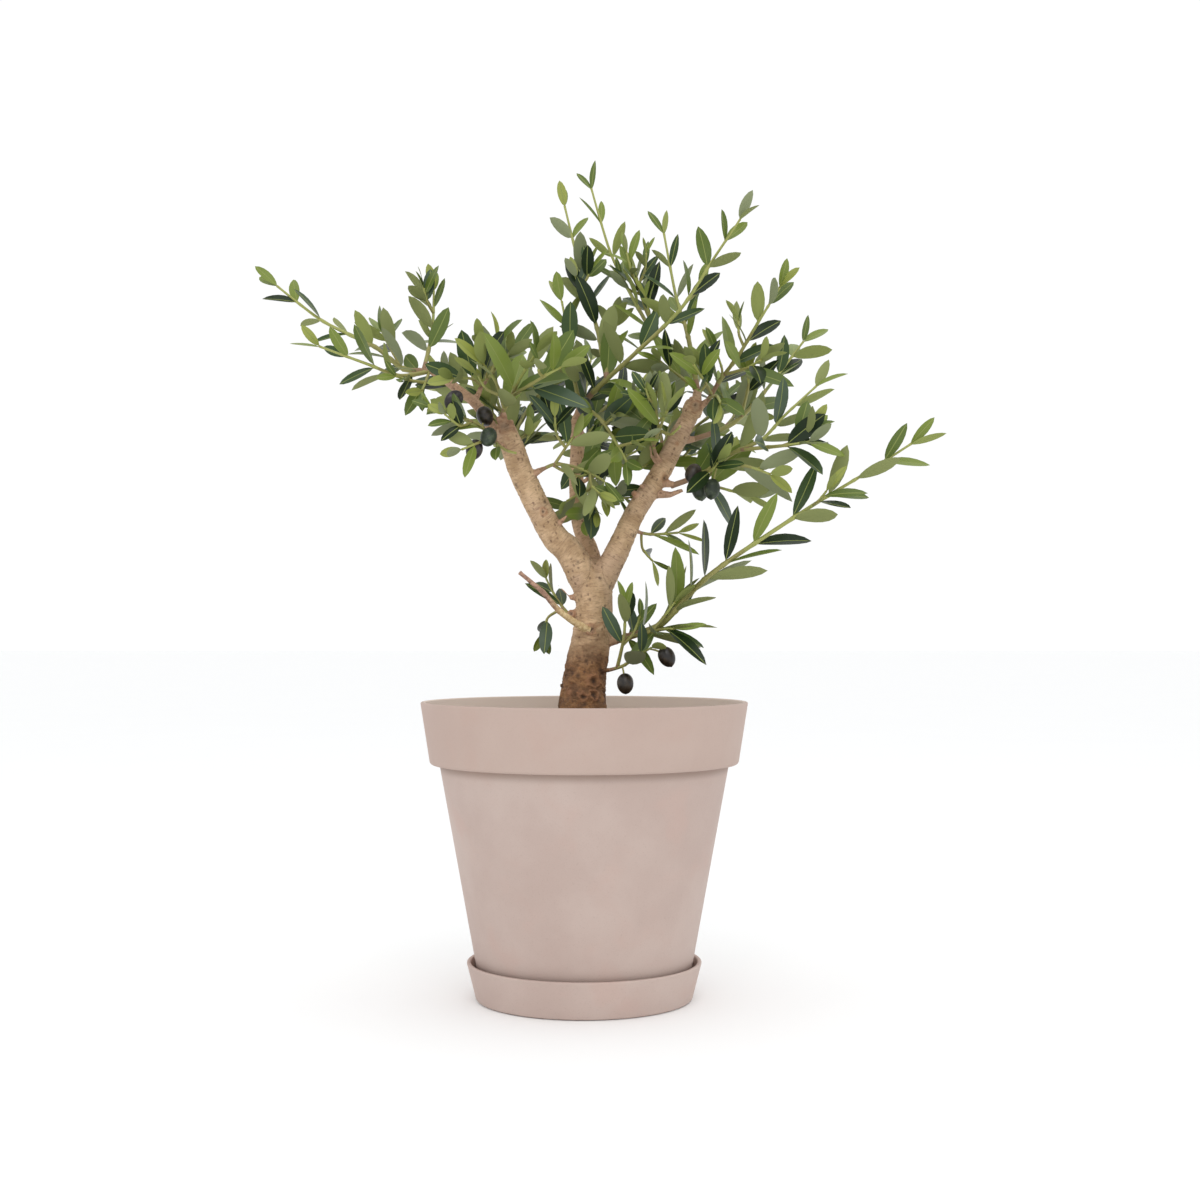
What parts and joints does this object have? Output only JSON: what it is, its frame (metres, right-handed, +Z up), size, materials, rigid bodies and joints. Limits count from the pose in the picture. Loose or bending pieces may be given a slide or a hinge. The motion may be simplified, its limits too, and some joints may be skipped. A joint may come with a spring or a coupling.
{
  "type": "olive bonsai",
  "caption": "Olive bonsai with a forked trunk and open, leafy boughs, in a round tapered planter with a rim band and a saucer.",
  "frame": {"origin": "middle of the saucer's flat underside, on the planter's axis", "axes": "+Z up the trunk, +X towards the long low shoot, -Y towards the front, the side that shows the fork open"},
  "size_m": [0.6231, 0.3244, 0.7887],
  "materials": {
    "planter": "matte",
    "soil": "matte",
    "bark": "matte",
    "foliage": "satin"
  },
  "bodies": {
    "root": {"saucer": "planter", "pot": "planter", "soil": "soil", "trunk": "bark", "left_bough": "bark", "right_bough": "bark", "middle_bough": "bark", "left_limb": "bark", "dead_twig": "bark", "left_outer_foliage": "foliage", "left_upper_foliage": "foliage", "left_low_foliage": "foliage", "left_front_foliage": "foliage", "left_back_foliage": "foliage", "leader_foliage": "foliage", "top_foliage": "foliage", "right_upper_foliage": "foliage", "right_outer_foliage": "foliage", "right_low_foliage": "foliage", "right_back_foliage": "foliage", "inner_right_foliage": "foliage", "inner_foliage": "foliage", "inner_left_foliage": "foliage", "back_foliage": "foliage", "right_under_foliage": "foliage", "low_right_shoot_foliage": "foliage", "low_right_tuft_foliage": "foliage", "low_left_tuft_foliage": "foliage"}
  },
  "joints": []
}
